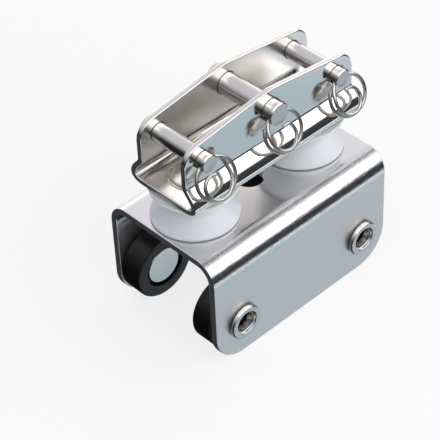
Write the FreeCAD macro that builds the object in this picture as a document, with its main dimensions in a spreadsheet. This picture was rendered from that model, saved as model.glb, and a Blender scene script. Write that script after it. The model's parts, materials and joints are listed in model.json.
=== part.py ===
import FreeCAD, Part
import math
import os
import Sketcher

# Mainsheet traveller car: a folded saddle that rolls along a rail on four wheels, with two
# control line sheaves on top of it and a three pin bracket for the mainsheet blocks over them.
# X runs along the rail and Z is up. The origin is midway between the four wheels, at axle height.

document = FreeCAD.newDocument("traveller_car")

# Driving sizes, in millimetres and degrees
SIZES = {
    # saddle, folded from one sheet
    "body_length": 62.0,
    "body_width": 38.0,
    "body_height": 33.4,
    "body_gauge": 2.0,
    "body_fold_radius": 6.0,
    "plate_corner_radius": 9.5,
    "centre_hole_diameter": 8.0,
    "axle_spacing": 43.5,
    "axle_drop": 22.8,
    # wheels and the tubular rivets that carry them
    "wheel_diameter": 18.8,
    "wheel_face": 6.5,
    "wheel_side_gap": 0.5,
    "wheel_edge": 0.7,
    "wheel_recess_diameter": 12.0,
    "wheel_recess_depth": 1.7,
    "axle_diameter": 6.4,
    "axle_bore_diameter": 4.0,
    "axle_bore_depth": 6.0,
    "axle_roll_diameter": 9.2,
    "axle_roll_rise": 1.6,
    "axle_mouth_diameter": 5.8,
    "axle_mouth_depth": 2.6,
    "axle_head_diameter": 10.4,
    "axle_head_thickness": 1.2,
    "axle_bush_wall": 1.0,
    # sheaves and the rivets that hold them and the bracket to the saddle
    "sheave_spacing": 37.8,
    "sheave_diameter": 22.9,
    "sheave_waist_diameter": 14.4,
    "sheave_rim": 0.7,
    "sheave_groove_radius": 1.6,
    "sheave_end_gap": 0.3,
    "sheave_bush_diameter": 8.0,
    "sheave_shank_diameter": 5.0,
    "sheave_head_diameter": 12.8,
    "sheave_head_thickness": 0.9,
    "sheave_clinch_diameter": 8.4,
    "sheave_clinch_thickness": 0.8,
    # bracket, folded from one sheet
    "bracket_length": 58.2,
    "bracket_gauge": 1.6,
    "bracket_lift": 10.6,
    "bracket_slot": 14.0,
    "foot_rise": 7.8,
    "foot_flare_angle": 40.0,
    "foot_fold_radius": 3.6,
    "cheek_fold_radius": 1.0,
    "cheek_end_rise": 18.2,
    "cheek_peak_rise": 21.9,
    "cheek_corner_radius": 4.5,
    "cheek_peak_radius": 8.0,
    # clevis pins
    "pin_spacing": 23.1,
    "end_pin_rise": 13.85,
    "end_pin_diameter": 5.0,
    "end_pin_head_diameter": 7.2,
    "end_pin_head_thickness": 1.4,
    "centre_pin_rise": 15.85,
    "centre_pin_diameter": 6.35,
    "centre_pin_head_diameter": 9.2,
    "centre_pin_head_thickness": 1.8,
    "cross_hole_web": 0.31,
    "pin_chamfer": 0.3,
    # split rings
    "ring_wire_diameter": 1.0,
    "ring_turn_radius": 5.4,
    "ring_turn_pitch": 1.08,
    "ring_lean_angle": 22.0,
    "ring_sway_angle": 18.0,
    "ring_start_angle": 50.0,
    "ring_finish_angle": 300.0,
    # fits
    "running_gap": 0.05,
    "hole_gap": 0.08,
    "seat_gap": 0.15,
    "wire_gap": 0.12,
}

# Places worked out from the sizes
PLACES = {
    "body_half_length": "sizes.body_length / 2",
    "body_half_width": "sizes.body_width / 2",
    "plate_inside": "sizes.body_width / 2 - sizes.body_gauge",
    "body_fold_inside": "max(sizes.body_fold_radius - sizes.body_gauge; 0.2)",
    "axle_half_spacing": "sizes.axle_spacing / 2",
    "axle_hole_diameter": "sizes.axle_diameter + 2 * sizes.running_gap",
    # turned pieces of the wheels, along Y
    "wheel_radius": "sizes.wheel_diameter / 2",
    "wheel_shoulder_radius": "sizes.wheel_diameter / 2 - sizes.wheel_edge",
    "wheel_outer_face": "sizes.body_width / 2 - sizes.body_gauge - sizes.wheel_side_gap",
    "wheel_outer_shoulder": "wheel_outer_face - sizes.wheel_edge",
    "wheel_inner_face": "wheel_outer_face - sizes.wheel_face",
    "wheel_inner_shoulder": "wheel_inner_face + sizes.wheel_edge",
    "wheel_recess_radius": "sizes.wheel_recess_diameter / 2",
    "wheel_recess_floor": "wheel_inner_face + sizes.wheel_recess_depth",
    "axle_bush_radius": "sizes.axle_diameter / 2 + sizes.running_gap + sizes.axle_bush_wall",
    "axle_bush_bore": "sizes.axle_diameter / 2 + sizes.running_gap",
    "wheel_bore_radius": "axle_bush_radius + sizes.running_gap",
    "axle_head_seat": "wheel_recess_floor - 2 * sizes.running_gap",
    "axle_head_face": "axle_head_seat - sizes.axle_head_thickness",
    "axle_head_radius": "sizes.axle_head_diameter / 2",
    "axle_radius": "sizes.axle_diameter / 2",
    "axle_roll_radius": "sizes.axle_roll_diameter / 2",
    "axle_roll_crest": "sizes.axle_roll_diameter / 2 - sizes.axle_roll_rise / 4",
    "axle_roll_side": "sizes.body_width / 2 + sizes.axle_roll_rise * 0.75",
    "axle_roll_top": "sizes.body_width / 2 + sizes.axle_roll_rise",
    "axle_mouth_radius": "sizes.axle_mouth_diameter / 2",
    "axle_mouth_top": "axle_roll_top - sizes.axle_roll_rise / 8",
    "axle_mouth_end": "axle_roll_top - sizes.axle_mouth_depth",
    "axle_bore_radius": "sizes.axle_bore_diameter / 2",
    "axle_bore_end": "axle_roll_top - sizes.axle_bore_depth",
    # turned pieces of the sheaves, above the saddle's top face
    "sheave_half_spacing": "sizes.sheave_spacing / 2",
    "sheave_radius": "sizes.sheave_diameter / 2",
    "sheave_waist_radius": "sizes.sheave_waist_diameter / 2",
    "sheave_low": "sizes.sheave_end_gap",
    "sheave_high": "sizes.bracket_lift - sizes.sheave_end_gap",
    "sheave_low_rim": "sizes.sheave_end_gap + sizes.sheave_rim",
    "sheave_high_rim": "sizes.bracket_lift - sizes.sheave_end_gap - sizes.sheave_rim",
    "sheave_waist_low": "sizes.bracket_lift / 2 - sizes.sheave_groove_radius / 2",
    "sheave_waist_high": "sizes.bracket_lift / 2 + sizes.sheave_groove_radius / 2",
    "sheave_bush_radius": "sizes.sheave_bush_diameter / 2",
    "sheave_bore_radius": "sizes.sheave_bush_diameter / 2 + sizes.running_gap",
    "sheave_shank_radius": "sizes.sheave_shank_diameter / 2",
    "sheave_bush_bore": "sizes.sheave_shank_diameter / 2 + sizes.running_gap",
    "sheave_hole_diameter": "sizes.sheave_shank_diameter + 2 * sizes.running_gap",
    "sheave_head_radius": "sizes.sheave_head_diameter / 2",
    "sheave_head_seat": "sizes.bracket_lift + sizes.bracket_gauge",
    "sheave_head_top": "sheave_head_seat + sizes.sheave_head_thickness",
    "sheave_clinch_radius": "sizes.sheave_clinch_diameter / 2",
    "sheave_clinch_low": "sizes.body_gauge + sizes.sheave_clinch_thickness",
    # bracket section and side, above the saddle's top face
    "cheek_inside": "sizes.bracket_slot / 2",
    "cheek_outside": "sizes.bracket_slot / 2 + sizes.bracket_gauge",
    "floor_under": "sizes.bracket_lift",
    "floor_top": "sizes.bracket_lift + sizes.bracket_gauge",
    "foot_outside": "cheek_outside + sizes.foot_rise * tan(sizes.foot_flare_angle)",
    "foot_inside": "cheek_outside + (sizes.foot_rise - sizes.bracket_gauge) *"
                   " tan(sizes.foot_flare_angle) - sizes.bracket_gauge / cos(sizes.foot_flare_angle)",
    "flare_outside_top": "sizes.bracket_lift + sizes.foot_rise",
    "flare_inside_top": "flare_outside_top - sizes.bracket_gauge *"
                        " (1 / cos(sizes.foot_flare_angle) - 1) / tan(sizes.foot_flare_angle)",
    "foot_fold_inside": "max(sizes.foot_fold_radius - sizes.bracket_gauge; 0.2)",
    "cheek_fold_inside": "sizes.cheek_fold_radius + sizes.bracket_gauge",
    "cheek_end": "sizes.bracket_lift + sizes.cheek_end_rise",
    "cheek_peak": "sizes.bracket_lift + sizes.cheek_peak_rise",
    "bracket_half_length": "sizes.bracket_length / 2",
    "end_pin_height": "sizes.bracket_lift + sizes.end_pin_rise",
    "centre_pin_height": "sizes.bracket_lift + sizes.centre_pin_rise",
    "end_pin_hole_diameter": "sizes.end_pin_diameter + 2 * sizes.hole_gap",
    "centre_pin_hole_diameter": "sizes.centre_pin_diameter + 2 * sizes.hole_gap",
    "above_cheeks": "cheek_peak + 1",
    "end_pin_place": "sizes.axle_drop + end_pin_height",
    "centre_pin_place": "sizes.axle_drop + centre_pin_height",
    "axle_roll_round": "sizes.axle_roll_rise * 0.35",
    "sheave_head_round": "sizes.sheave_head_thickness * 0.6",
    # pins, along Y
    "pin_head_seat": "cheek_outside + sizes.seat_gap",
    # split rings, whose curved wire has to pass through a straight hole across the pin
    "ring_outside": "sizes.ring_turn_radius + sizes.ring_wire_diameter / 2",
    "ring_inside": "sizes.ring_turn_radius - sizes.ring_wire_diameter / 2",
}
for kind in ("end", "centre"):
    PLACES.update({
        f"{kind}_pin_radius": f"sizes.{kind}_pin_diameter / 2",
        f"{kind}_pin_tip_radius": f"sizes.{kind}_pin_diameter / 2 - sizes.pin_chamfer",
        f"{kind}_pin_head_radius": f"sizes.{kind}_pin_head_diameter / 2",
        f"{kind}_pin_head_face": f"pin_head_seat + sizes.{kind}_pin_head_thickness",
        f"{kind}_wire_exit": f"sqrt(ring_inside ^ 2 - (sizes.{kind}_pin_diameter / 2) ^ 2)",
        f"{kind}_ring_drop": f"(ring_outside + .{kind}_wire_exit) / 2",
        f"{kind}_cross_hole_diameter": f"ring_outside - .{kind}_wire_exit + 2 * sizes.wire_gap",
        f"{kind}_cross_hole_place": f"cheek_outside + sizes.cross_hole_web"
                                    f" + .{kind}_cross_hole_diameter / 2",
        f"{kind}_pin_tip": f"cheek_outside + 2 * sizes.cross_hole_web"
                           f" + .{kind}_cross_hole_diameter",
        f"{kind}_pin_shoulder": f".{kind}_pin_tip - sizes.pin_chamfer",
    })


def fill_sheet(label, entries):
    """Make a spreadsheet with a name, a value and an alias on each row."""
    sheet = document.addObject("Spreadsheet::Sheet", label)
    for row, (alias, value) in enumerate(entries.items(), start=1):
        sheet.set(f"A{row}", alias)
        sheet.set(f"B{row}", str(value))
        sheet.setAlias(f"B{row}", alias)
    document.recompute()
    return sheet


sizes = fill_sheet("sizes", SIZES)
places = fill_sheet("places", {alias: "=" + formula for alias, formula in PLACES.items()})


def cell(name):
    """Value and full name of a cell in either sheet. A leading minus turns it round."""
    sign, alias = (-1, name[1:]) if name.startswith("-") else (1, name)
    if alias == "zero":
        return 0.0, "0"
    sheet = sizes if alias in SIZES else places
    full = f"{sheet.Name}.{alias}"
    return sign * float(sheet.get(alias)), full if sign > 0 else f"-{full}"


def new_body(name):
    body = document.addObject("PartDesign::Body", name)
    body.Label = name
    return body


def new_sketch(body, plane, name):
    """An empty sketch on one of the body's own origin planes."""
    sketch = body.newObject("Sketcher::SketchObject", f"{body.Name}_{name}")
    support = [feature for feature in body.Origin.OriginFeatures if feature.Role == plane][0]
    sketch.AttachmentSupport = [(support, "")]
    sketch.MapMode = "FlatFace"
    return sketch


def bind(sketch, constraint, name):
    """Add a constraint whose value follows a cell."""
    value, full = cell(name)
    index = sketch.addConstraint(Sketcher.Constraint(*constraint, value))
    sketch.setExpression(f"Constraints[{index}]", full)


def outline(body, plane, name, corners):
    """A closed run of straight lines whose corners each follow two cells."""
    sketch = new_sketch(body, plane, name)
    points = [FreeCAD.Vector(cell(across)[0], cell(up)[0], 0) for across, up in corners]
    count = len(points)
    for index in range(count):
        line = Part.LineSegment(points[index], points[(index + 1) % count])
        sketch.addGeometry(line, False)
    for index in range(count):
        sketch.addConstraint(Sketcher.Constraint("Coincident", index, 2, (index + 1) % count, 1))
        bind(sketch, ("DistanceX", -1, 1, index, 1), corners[index][0])
        bind(sketch, ("DistanceY", -1, 1, index, 1), corners[index][1])
    return sketch


def circles(body, plane, name, places_and_diameters):
    """Circles whose centres and diameters follow cells."""
    sketch = new_sketch(body, plane, name)
    for index, (across, up, diameter) in enumerate(places_and_diameters):
        centre = FreeCAD.Vector(cell(across)[0], cell(up)[0], 0)
        circle = Part.Circle(centre, FreeCAD.Vector(0, 0, 1), cell(diameter)[0] / 2)
        sketch.addGeometry(circle, False)
        bind(sketch, ("DistanceX", -1, 1, index, 3), across)
        bind(sketch, ("DistanceY", -1, 1, index, 3), up)
        bind(sketch, ("Diameter", index), diameter)
    return sketch


def pad_both_ways(body, sketch, length):
    pad = body.newObject("PartDesign::Pad", f"{body.Name}_pad")
    pad.Profile = sketch
    pad.SideType = "Symmetric"
    pad.setExpression("Length", cell(length)[1])
    document.recompute()
    return pad


def cut_through(body, sketch):
    """Cut right through, both ways from the sketch, and check that it took something away."""
    before = body.Shape.Volume
    pocket = body.newObject("PartDesign::Pocket", f"{sketch.Name}_cut")
    pocket.Profile = sketch
    pocket.SideType = "Symmetric"
    pocket.Type = "ThroughAll"
    document.recompute()
    if not body.Shape.Volume < before - 1e-6:
        raise RuntimeError(f"{pocket.Name} cuts nothing")
    return pocket


def turn(body, sketch):
    """Revolve a half section round the sketch's vertical axis."""
    revolution = body.newObject("PartDesign::Revolution", f"{body.Name}_turned")
    revolution.Profile = sketch
    revolution.ReferenceAxis = (sketch, ["V_Axis"])
    revolution.Angle = 360
    document.recompute()
    return revolution


def round_edges(body, name, radius, wanted):
    """Fillet the edges of the body's last feature that the test picks out."""
    base = body.Tip
    picked = [f"Edge{index}" for index, edge in enumerate(base.Shape.Edges, start=1) if wanted(edge)]
    if not picked:
        raise RuntimeError(f"no edges for {body.Name} {name}")
    fillet = body.newObject("PartDesign::Fillet", f"{body.Name}_{name}")
    fillet.Base = (base, picked)
    fillet.setExpression("Radius", cell(radius)[1])
    document.recompute()
    return fillet


def place(body, x="zero", z="zero", half_turn=False, sway="zero"):
    """Put a body where the cells say, turned half round Z as a twin, or round Y by a cell."""
    if half_turn:
        body.Placement = FreeCAD.Placement(
            FreeCAD.Vector(0, 0, 0), FreeCAD.Rotation(FreeCAD.Vector(0, 0, 1), 180))
    if sway != "zero":
        body.Placement = FreeCAD.Placement(FreeCAD.Vector(0, 0, 0), turned_in_cheeks(sway))
    for axis, name in (("x", x), ("z", z)):
        if name != "zero":
            body.setExpression(f"Placement.Base.{axis}", cell(name)[1])


def turned_in_cheeks(sway):
    """How far a pin and its hanging ring are turned about the pin, foot of the ring to +X."""
    return FreeCAD.Rotation(FreeCAD.Vector(0, -1, 0), cell(sway)[0])


def at(value, name):
    """Whether a coordinate lies at the place that a cell gives."""
    return abs(value - cell(name)[0]) < 1e-4


def ends(edge):
    return [vertex.Point for vertex in edge.Vertexes]


def lengthwise_at(y_place, z_place):
    """Test for an edge along X at a given place in the YZ section."""
    def wanted(edge):
        points = ends(edge)
        if len(points) < 2 or abs(points[0].x - points[1].x) < 1e-3:
            return False
        return all(at(abs(point.y), y_place) and at(point.z, z_place) for point in points)
    return wanted


def crosswise_at(x_place, z_place):
    """Test for an edge along Y at a given place, seen from the side."""
    def wanted(edge):
        points = ends(edge)
        if len(points) < 2 or abs(points[0].y - points[1].y) < 1e-3:
            return False
        return all(at(abs(point.x), x_place) and at(point.z, z_place) for point in points)
    return wanted


def ring_edge_at(radius_place, height_place, height_axis):
    """Test for a circular edge of a turned piece, by its radius and its place along the axis."""
    def wanted(edge):
        if not isinstance(edge.Curve, Part.Circle):
            return False
        height = getattr(edge.Curve.Center, height_axis)
        return at(edge.Curve.Radius, radius_place) and at(height, height_place)
    return wanted


def make_car_body():
    """The saddle: a folded inverted U with rounded plate corners."""
    body = new_body("car_body")
    section = outline(body, "YZ_Plane", "section", [
        ("-body_half_width", "-body_height"), ("-body_half_width", "zero"),
        ("body_half_width", "zero"), ("body_half_width", "-body_height"),
        ("plate_inside", "-body_height"), ("plate_inside", "-body_gauge"),
        ("-plate_inside", "-body_gauge"), ("-plate_inside", "-body_height")])
    pad_both_ways(body, section, "body_length")
    round_edges(body, "outer_folds", "body_fold_radius", lengthwise_at("body_half_width", "zero"))
    round_edges(body, "inner_folds", "body_fold_inside", lengthwise_at("plate_inside", "-body_gauge"))
    round_edges(body, "plate_corners", "plate_corner_radius",
                crosswise_at("body_half_length", "-body_height"))
    cut_through(body, circles(body, "XZ_Plane", "axle_holes", [
        ("axle_half_spacing", "-axle_drop", "axle_hole_diameter"),
        ("-axle_half_spacing", "-axle_drop", "axle_hole_diameter")]))
    cut_through(body, circles(body, "XY_Plane", "top_holes", [
        ("zero", "zero", "centre_hole_diameter"),
        ("sheave_half_spacing", "zero", "sheave_hole_diameter"),
        ("-sheave_half_spacing", "zero", "sheave_hole_diameter")]))
    place(body, z="axle_drop")


def make_wheel(name, x, half_turn):
    """A plain turned roller with its inner side recessed round the axle head."""
    body = new_body(f"wheel_{name}")
    turn(body, outline(body, "XY_Plane", "profile", [
        ("wheel_bore_radius", "wheel_recess_floor"), ("wheel_recess_radius", "wheel_recess_floor"),
        ("wheel_recess_radius", "wheel_inner_face"), ("wheel_shoulder_radius", "wheel_inner_face"),
        ("wheel_radius", "wheel_inner_shoulder"), ("wheel_radius", "wheel_outer_shoulder"),
        ("wheel_shoulder_radius", "wheel_outer_face"), ("wheel_bore_radius", "wheel_outer_face")]))
    place(body, x=x, half_turn=half_turn)


def make_axle_bush(name, x, half_turn):
    """A sleeve clamped between the axle head and the plate, on which the wheel turns."""
    body = new_body(f"axle_bush_{name}")
    turn(body, outline(body, "XY_Plane", "profile", [
        ("axle_bush_bore", "axle_head_seat"), ("axle_bush_radius", "axle_head_seat"),
        ("axle_bush_radius", "plate_inside"), ("axle_bush_bore", "plate_inside")]))
    place(body, x=x, half_turn=half_turn)


def make_axle_rivet(name, x, half_turn):
    """A tubular rivet: head in the wheel's recess, mouth rolled over outside the plate."""
    body = new_body(f"axle_rivet_{name}")
    turn(body, outline(body, "XY_Plane", "profile", [
        ("zero", "axle_head_face"), ("axle_head_radius", "axle_head_face"),
        ("axle_head_radius", "axle_head_seat"), ("axle_radius", "axle_head_seat"),
        ("axle_radius", "body_half_width"), ("axle_roll_radius", "body_half_width"),
        ("axle_roll_radius", "axle_roll_side"), ("axle_roll_crest", "axle_roll_top"),
        ("axle_mouth_radius", "axle_mouth_top"), ("axle_bore_radius", "axle_mouth_end"),
        ("axle_bore_radius", "axle_bore_end"), ("zero", "axle_bore_end")]))
    round_edges(body, "rolled_crest", "axle_roll_round",
                ring_edge_at("axle_roll_crest", "axle_roll_top", "y"))
    place(body, x=x, half_turn=half_turn)


def make_sheave(name, x):
    """A V groove line sheave with thin rims and a rounded waist."""
    body = new_body(f"sheave_{name}")
    turn(body, outline(body, "XZ_Plane", "profile", [
        ("sheave_bore_radius", "sheave_low"), ("sheave_radius", "sheave_low"),
        ("sheave_radius", "sheave_low_rim"), ("sheave_waist_radius", "sheave_waist_low"),
        ("sheave_waist_radius", "sheave_waist_high"), ("sheave_radius", "sheave_high_rim"),
        ("sheave_radius", "sheave_high"), ("sheave_bore_radius", "sheave_high")]))
    low = ring_edge_at("sheave_waist_radius", "sheave_waist_low", "z")
    high = ring_edge_at("sheave_waist_radius", "sheave_waist_high", "z")
    round_edges(body, "waist", "sheave_groove_radius", lambda edge: low(edge) or high(edge))
    place(body, x=x, z="axle_drop")


def make_sheave_bush(name, x):
    """The spacer that carries the bracket on the saddle, and on which the sheave turns."""
    body = new_body(f"sheave_bush_{name}")
    turn(body, outline(body, "XZ_Plane", "profile", [
        ("sheave_bush_bore", "zero"), ("sheave_bush_radius", "zero"),
        ("sheave_bush_radius", "bracket_lift"), ("sheave_bush_bore", "bracket_lift")]))
    place(body, x=x, z="axle_drop")


def make_sheave_rivet(name, x):
    """Low round head on the bracket's floor, clinched under the saddle's top."""
    body = new_body(f"sheave_rivet_{name}")
    turn(body, outline(body, "XZ_Plane", "profile", [
        ("zero", "-sheave_clinch_low"), ("sheave_clinch_radius", "-sheave_clinch_low"),
        ("sheave_clinch_radius", "-body_gauge"), ("sheave_shank_radius", "-body_gauge"),
        ("sheave_shank_radius", "sheave_head_seat"), ("sheave_head_radius", "sheave_head_seat"),
        ("sheave_head_radius", "sheave_head_top"), ("zero", "sheave_head_top")]))
    round_edges(body, "head_edge", "sheave_head_round",
                ring_edge_at("sheave_head_radius", "sheave_head_top", "z"))
    place(body, x=x, z="axle_drop")


def make_toggle_bracket():
    """The bracket: a wide foot whose sides flare in and rise as two parallel cheeks."""
    body = new_body("toggle_bracket")
    right = [("foot_outside", "floor_under"), ("cheek_outside", "flare_outside_top"),
             ("cheek_outside", "cheek_peak"), ("cheek_inside", "cheek_peak"),
             ("cheek_inside", "flare_inside_top"), ("foot_inside", "floor_top")]
    left = [(f"-{across}", up) for across, up in reversed(right)]
    section = outline(body, "YZ_Plane", "section", right + left)
    pad_both_ways(body, section, "bracket_length")
    roof = outline(body, "XZ_Plane", "roof", [
        ("-bracket_half_length", "cheek_end"), ("zero", "cheek_peak"),
        ("bracket_half_length", "cheek_end"), ("bracket_half_length", "above_cheeks"),
        ("-bracket_half_length", "above_cheeks")])
    cut_through(body, roof)
    round_edges(body, "cheek_corners", "cheek_corner_radius",
                crosswise_at("bracket_half_length", "cheek_end"))
    round_edges(body, "cheek_peaks", "cheek_peak_radius", crosswise_at("zero", "cheek_peak"))
    round_edges(body, "foot_folds", "foot_fold_radius", lengthwise_at("foot_outside", "floor_under"))
    round_edges(body, "foot_insides", "foot_fold_inside", lengthwise_at("foot_inside", "floor_top"))
    round_edges(body, "cheek_folds", "cheek_fold_radius",
                lengthwise_at("cheek_outside", "flare_outside_top"))
    round_edges(body, "cheek_insides", "cheek_fold_inside",
                lengthwise_at("cheek_inside", "flare_inside_top"))
    cut_through(body, circles(body, "XZ_Plane", "pin_holes", [
        ("zero", "centre_pin_height", "centre_pin_hole_diameter"),
        ("pin_spacing", "end_pin_height", "end_pin_hole_diameter"),
        ("-pin_spacing", "end_pin_height", "end_pin_hole_diameter")]))
    cut_through(body, circles(body, "XY_Plane", "floor_holes", [
        ("sheave_half_spacing", "zero", "sheave_hole_diameter"),
        ("-sheave_half_spacing", "zero", "sheave_hole_diameter")]))
    place(body, z="axle_drop")


def make_clevis_pin(name, kind, x):
    """A headed pin across the cheeks, cross drilled for its ring near the chamfered tip."""
    body = new_body(f"clevis_pin_{name}")
    turn(body, outline(body, "XY_Plane", "profile", [
        ("zero", f"{kind}_pin_head_face"), (f"{kind}_pin_head_radius", f"{kind}_pin_head_face"),
        (f"{kind}_pin_head_radius", "pin_head_seat"), (f"{kind}_pin_radius", "pin_head_seat"),
        (f"{kind}_pin_radius", f"-{kind}_pin_shoulder"), (f"{kind}_pin_tip_radius", f"-{kind}_pin_tip"),
        ("zero", f"-{kind}_pin_tip")]))
    cut_through(body, circles(body, "YZ_Plane", "cross_hole", [
        (f"-{kind}_cross_hole_place", "zero", f"{kind}_cross_hole_diameter")]))
    round_edges(body, "head_edge", "pin_chamfer",
                ring_edge_at(f"{kind}_pin_head_radius", f"{kind}_pin_head_face", "y"))
    place(body, x=x, z=f"{kind}_pin_place", sway="ring_sway_angle")


def make_split_ring(name, kind, x):
    """A wire ring wound once and three quarters, threaded through the pin's cross hole.

    The wire is a run of half circles on two centres, each half a pitch wider than the last.
    It passes through the hole at the top of its second turn, its foot leans outwards, and it
    is swayed about the pin with it.
    """
    wire_radius = float(sizes.get("ring_wire_diameter")) / 2
    through = float(sizes.get("ring_turn_radius"))
    step = float(sizes.get("ring_turn_pitch")) / 2
    first = math.radians(float(sizes.get("ring_start_angle")))
    last = math.radians(float(sizes.get("ring_finish_angle")))
    lean = float(sizes.get("ring_lean_angle"))
    drop = cell(f"{kind}_ring_drop")[0]

    def on_arc(angle, radius, low_half):
        """Point of the flat ring, its angle taken clockwise from the hole at the top."""
        centre = FreeCAD.Vector(-step if low_half else 0, 0, -drop)
        return centre + FreeCAD.Vector(radius * math.sin(angle), 0, radius * math.cos(angle))

    stretches = [
        (first, math.pi / 2, through - 2 * step, False),
        (math.pi / 2, 3 * math.pi / 2, through - step, True),
        (-math.pi / 2, math.pi / 2, through, False),
        (math.pi / 2, 3 * math.pi / 2, through + step, True),
        (-math.pi / 2, last - 2 * math.pi, through + 2 * step, False)]
    edges = []
    for start, end, radius, low_half in stretches:
        middle = (start + end) / 2
        points = [on_arc(angle, radius, low_half) for angle in (start, middle, end)]
        edges.append(Part.Arc(*points).toShape())
    path = Part.Wire(edges)
    begin = on_arc(first, through - 2 * step, False)
    heading = FreeCAD.Vector(math.cos(first), 0, -math.sin(first))
    section = Part.Wire(Part.makeCircle(wire_radius, begin, heading))
    ring = document.addObject("Part::Feature", f"split_ring_{name}")
    ring.Label = f"split_ring_{name}"
    ring.Shape = path.makePipeShell([section], True, True)
    ring.Placement = FreeCAD.Placement(
        FreeCAD.Vector(cell(x)[0], -cell(f"{kind}_cross_hole_place")[0], cell(f"{kind}_pin_place")[0]),
        turned_in_cheeks("ring_sway_angle") * FreeCAD.Rotation(FreeCAD.Vector(1, 0, 0), -lean))
    expected = math.pi * wire_radius ** 2 * path.Length
    if abs(ring.Shape.Volume - expected) > 0.01 * expected:
        raise RuntimeError(f"{ring.Name} has volume {ring.Shape.Volume}, not {expected}")


make_car_body()
for end_name, along in (("front", "axle_half_spacing"), ("rear", "-axle_half_spacing")):
    for side_name, turned in (("left", False), ("right", True)):
        corner = f"{end_name}_{side_name}"
        make_wheel(corner, along, turned)
        make_axle_bush(corner, along, turned)
        make_axle_rivet(corner, along, turned)
for end_name, along in (("front", "sheave_half_spacing"), ("rear", "-sheave_half_spacing")):
    make_sheave(end_name, along)
    make_sheave_bush(end_name, along)
    make_sheave_rivet(end_name, along)
make_toggle_bracket()
for pin_name, pin_kind, along in (("front", "end", "pin_spacing"), ("centre", "centre", "zero"),
                                  ("rear", "end", "-pin_spacing")):
    make_clevis_pin(pin_name, pin_kind, along)
    make_split_ring(pin_name, pin_kind, along)

document.recompute()
for item in document.Objects:
    if "Invalid" in item.State or "Error" in item.State:
        raise RuntimeError(f"{item.Label} did not build: {item.State}")

os.makedirs("parts", exist_ok=True)
for item in document.Objects:
    if item.isDerivedFrom("PartDesign::Body") or item.TypeId == "Part::Feature":
        shape = item.Shape
        if shape.isNull() or not shape.isValid() or len(shape.Solids) != 1:
            raise RuntimeError(f"{item.Label} is not one valid solid")
        shape.exportStep(f"parts/{item.Label}.step")
        print(f"{item.Label:26s} {shape.Volume:10.2f} mm3")
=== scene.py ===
import json
import math

import bpy
from mathutils import Matrix, Vector


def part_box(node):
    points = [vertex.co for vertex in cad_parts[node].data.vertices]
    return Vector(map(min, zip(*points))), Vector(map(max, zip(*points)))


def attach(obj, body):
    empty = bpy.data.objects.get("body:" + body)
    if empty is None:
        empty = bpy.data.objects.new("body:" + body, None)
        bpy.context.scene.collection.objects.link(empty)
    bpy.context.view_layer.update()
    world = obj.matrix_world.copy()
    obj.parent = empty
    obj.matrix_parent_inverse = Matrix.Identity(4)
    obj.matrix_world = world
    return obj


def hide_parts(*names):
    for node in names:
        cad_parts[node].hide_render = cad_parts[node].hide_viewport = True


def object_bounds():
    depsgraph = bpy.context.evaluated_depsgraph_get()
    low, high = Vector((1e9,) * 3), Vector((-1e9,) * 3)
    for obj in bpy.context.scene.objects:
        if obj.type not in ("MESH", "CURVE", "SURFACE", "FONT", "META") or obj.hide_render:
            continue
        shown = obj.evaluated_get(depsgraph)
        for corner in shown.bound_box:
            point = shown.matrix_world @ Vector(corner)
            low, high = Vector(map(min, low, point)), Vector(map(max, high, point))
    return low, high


# A mainsheet traveller car: a folded stainless saddle on four black wheels, two white sheaves on
# top of it for the control lines, and over them a folded bracket with three ringed clevis pins.
# Blender's lengths are metres, so each length below is in millimetres times MM.

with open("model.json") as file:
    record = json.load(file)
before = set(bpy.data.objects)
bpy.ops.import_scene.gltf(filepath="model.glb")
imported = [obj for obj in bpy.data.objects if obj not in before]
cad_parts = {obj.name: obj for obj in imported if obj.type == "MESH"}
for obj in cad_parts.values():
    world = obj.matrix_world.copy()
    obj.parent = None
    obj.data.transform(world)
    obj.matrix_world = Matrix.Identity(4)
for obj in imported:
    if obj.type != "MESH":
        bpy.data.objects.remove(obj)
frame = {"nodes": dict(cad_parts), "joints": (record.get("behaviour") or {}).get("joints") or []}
cad_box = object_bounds()

MM = 0.001
NODES = frame["nodes"]
JOINTS = {joint["name"]: joint for joint in frame["joints"]}
CORNERS = [f"{end}_{side}" for end in ("front", "rear") for side in ("left", "right")]
PINS = ("front", "centre", "rear")

# Saddle: gauge, then the radii of its folds, its plates' corners and its centre hole
SADDLE_GAUGE = 2.0 * MM
SADDLE_FOLD = 6.0 * MM
SADDLE_CORNER = 9.5 * MM
CENTRE_HOLE = 4.0 * MM
# How far the two sheets' cut edges are rounded by tumbling
SADDLE_EDGE, BRACKET_EDGE = 0.3 * MM, 0.4 * MM
# Wheels and axle rivets: radii, and places along the axle, out from the car's middle
WHEEL_RADIUS, WHEEL_BORE, WHEEL_RECESS = 9.4 * MM, 4.3 * MM, 6.0 * MM
WHEEL_OUTSIDE, WHEEL_INSIDE, WHEEL_RECESS_FLOOR = 16.5 * MM, 10.0 * MM, 11.7 * MM
WHEEL_EDGE = 0.7 * MM
AXLE_RADIUS, AXLE_HEAD, AXLE_HEAD_FACE, AXLE_HEAD_SEAT = 3.2 * MM, 5.2 * MM, 10.4 * MM, 11.6 * MM
AXLE_GAP = 0.05 * MM
# The roll at an axle rivet's outer end: it stands on the plate from foot to top, its edge is
# bevelled, and its mouth curls down in two steps to the bore, which ends in a drill point
ROLL_FOOT, ROLL_TOP = 19.0 * MM, 20.55 * MM
ROLL_RADIUS, ROLL_BEVEL, ROLL_MOUTH, AXLE_BORE = 4.85 * MM, 0.25 * MM, 3.35 * MM, 2.1 * MM
CURL_DEPTH, STEP_DEPTH, THROAT_DEPTH = 0.8 * MM, 1.0 * MM, 2.2 * MM
BORE_DEPTH, DRILL_POINT_DEPTH = 7.0 * MM, 8.2 * MM
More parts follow.
